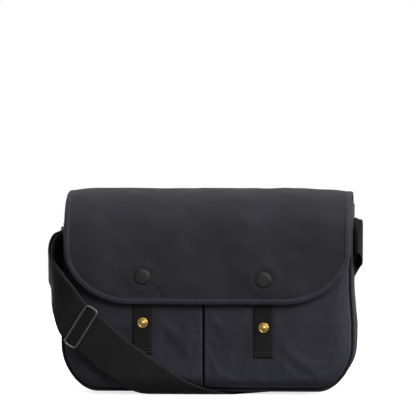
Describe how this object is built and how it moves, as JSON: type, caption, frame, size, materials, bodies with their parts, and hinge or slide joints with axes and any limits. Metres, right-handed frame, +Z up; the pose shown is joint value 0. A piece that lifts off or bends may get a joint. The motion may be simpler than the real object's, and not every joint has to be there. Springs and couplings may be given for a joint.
{
  "type": "messenger bag",
  "caption": "Soft navy messenger bag with a full-width snap flap, front pockets with webbing tabs, and a wide webbing strap wrapped round it.",
  "frame": {"origin": "on the ground under the middle of the bag with its strap", "axes": "+Z up, +X along the bag's width, the front faces -Y"},
  "size_m": [0.3936, 0.1425, 0.2533],
  "materials": {
    "navy_fabric": "waxed, soft sheen",
    "navy_binding": "satin",
    "lining_fabric": "matte",
    "black_webbing": "matte ribbed weave",
    "dark_metal": "black oxide",
    "brass": "polished, slightly aged",
    "base_board": "matte"
  },
  "bodies": {
    "bag": {"front_panel": "navy_fabric", "back_panel": "navy_fabric", "gusset": "navy_fabric", "pocket_left": "navy_fabric", "pocket_right": "navy_fabric", "flap_root": "navy_fabric", "front_piping": "navy_binding", "back_piping": "navy_binding", "mouth_binding": "navy_binding", "pocket_hem_left": "navy_binding", "pocket_hem_right": "navy_binding", "lining": "lining_fabric", "tab_left": "black_webbing", "tab_right": "black_webbing", "strap": "black_webbing", "strap_chape": "black_webbing", "strap_ring": "dark_metal", "stud_upper_left": "brass", "stud_upper_right": "brass", "stud_lower_left": "brass", "stud_lower_right": "brass", "stud_back_upper_left": "brass", "stud_back_upper_right": "brass", "stud_back_lower_left": "brass", "stud_back_lower_right": "brass", "base_board": "base_board"},
    "flap": {"flap_outer": "navy_fabric", "flap_lining": "lining_fabric", "flap_binding": "navy_binding", "snap_cap_left": "dark_metal", "snap_cap_right": "dark_metal", "snap_socket_left": "brass", "snap_socket_right": "brass"},
    "slider": {"slider_frame": "dark_metal", "slider_bar": "dark_metal", "strap_end": "black_webbing"}
  },
  "joints": [
    {"name": "flap_hinge", "type": "hinge", "parent": "bag", "child": "flap", "pos_m": [0, 0.0665, 0.2475], "axis": [-1, 0, 0], "range_deg": [0, 170]},
    {"name": "slider_slide", "type": "slide", "parent": "bag", "child": "slider", "axis": [0.7554, 0, -0.6553], "range_m": [0, 0.025]}
  ]
}
